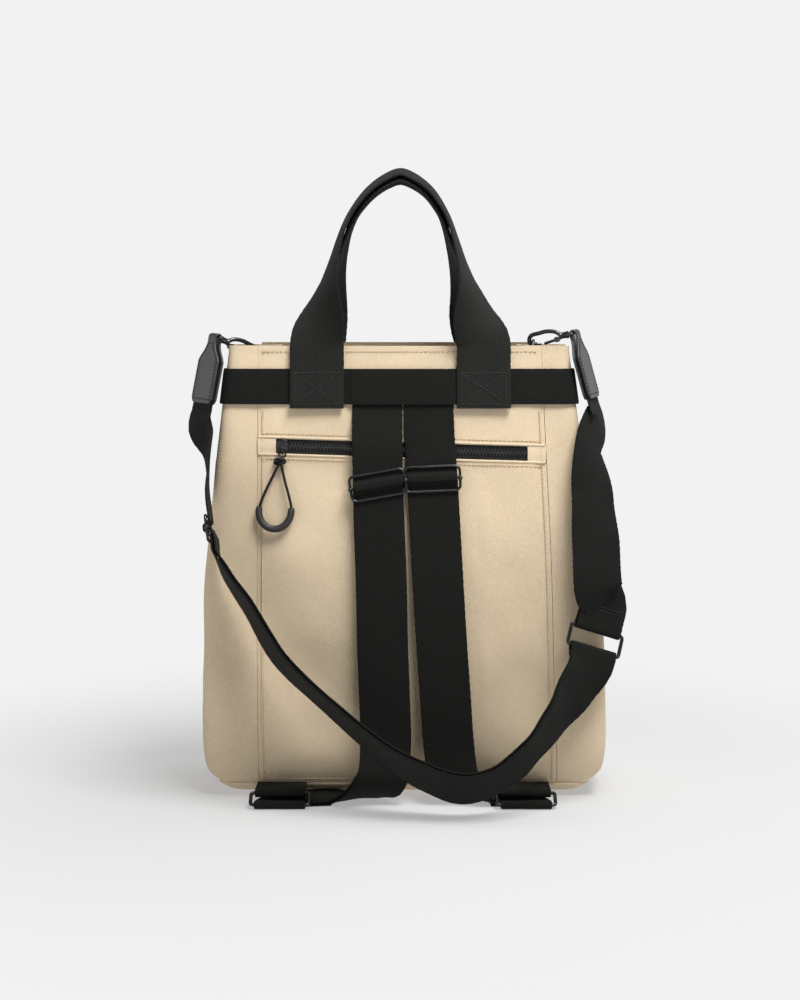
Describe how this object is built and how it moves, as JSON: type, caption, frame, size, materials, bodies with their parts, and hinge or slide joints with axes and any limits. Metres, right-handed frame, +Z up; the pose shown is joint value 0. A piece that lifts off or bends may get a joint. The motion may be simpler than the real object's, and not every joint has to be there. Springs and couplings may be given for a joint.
{
  "type": "convertible backpack",
  "caption": "Canvas tote with webbing handles, adjustable shoulder straps that end in rings at the bottom seam, a pocket zip, and a crossbody strap on snap hooks.",
  "frame": {"origin": "middle of the flat base, on the surface that the bag stands on", "axes": "+Z up, from the base to the handles. -Y out of the panel with the pocket zip and the shoulder straps. +X to the right for someone who looks at that panel."},
  "size_m": [0.3489, 0.2052, 0.504],
  "materials": {
    "canvas": "plain woven cotton canvas, matte",
    "webbing": "herringbone cotton webbing, matte black",
    "leather": "smooth black leather, half matt",
    "metal": "black plated, satin",
    "zip_teeth": "dark zip teeth",
    "cord": "black braided cord",
    "grip": "black moulded rubber, matte"
  },
  "bodies": {
    "bag": {"back_panel_lower": "canvas", "back_panel_upper": "canvas", "front_panel": "canvas", "gusset_left": "canvas", "gusset_right": "canvas", "base_panel": "canvas", "zip_end_left": "canvas", "zip_end_right": "canvas", "zip_tape": "webbing", "zip_teeth": "zip_teeth", "zip_slider": "metal", "zip_pull_ring": "metal", "zip_pull_knot": "cord", "zip_pull_cord": "cord", "zip_pull_grip": "grip", "band": "webbing", "handle_back": "webbing", "handle_front": "webbing", "shoulder_strap_left": "webbing", "strap_slider_left": "metal", "lower_ring_left": "metal", "ring_tab_left": "webbing", "shoulder_strap_right": "webbing", "strap_slider_right": "metal", "lower_ring_right": "metal", "ring_tab_right": "webbing", "d_ring_tab_left": "webbing", "d_ring_left": "metal", "snap_hook_left": "metal", "leather_tab_left": "leather", "d_ring_tab_right": "webbing", "d_ring_right": "metal", "snap_hook_right": "metal", "leather_tab_right": "leather", "crossbody_strap": "webbing", "crossbody_slider": "metal", "crossbody_ring": "metal", "crossbody_strap_end": "webbing"},
    "gate_left": {"hook_gate_left": "metal"},
    "gate_right": {"hook_gate_right": "metal"}
  },
  "joints": [
    {"name": "left_gate_hinge", "type": "hinge", "parent": "bag", "child": "gate_left", "pos_m": [-0.13911, -0.00866, 0.36107], "axis": [0.454, -0.891, 0], "range_deg": [0, 25], "stiffness_Nm_per_rad": 0.002},
    {"name": "right_gate_hinge", "type": "hinge", "parent": "bag", "child": "gate_right", "pos_m": [0.12471, -0.00541, 0.36661], "axis": [0.2756, 0.9613, 0], "range_deg": [0, 25], "stiffness_Nm_per_rad": 0.002}
  ]
}
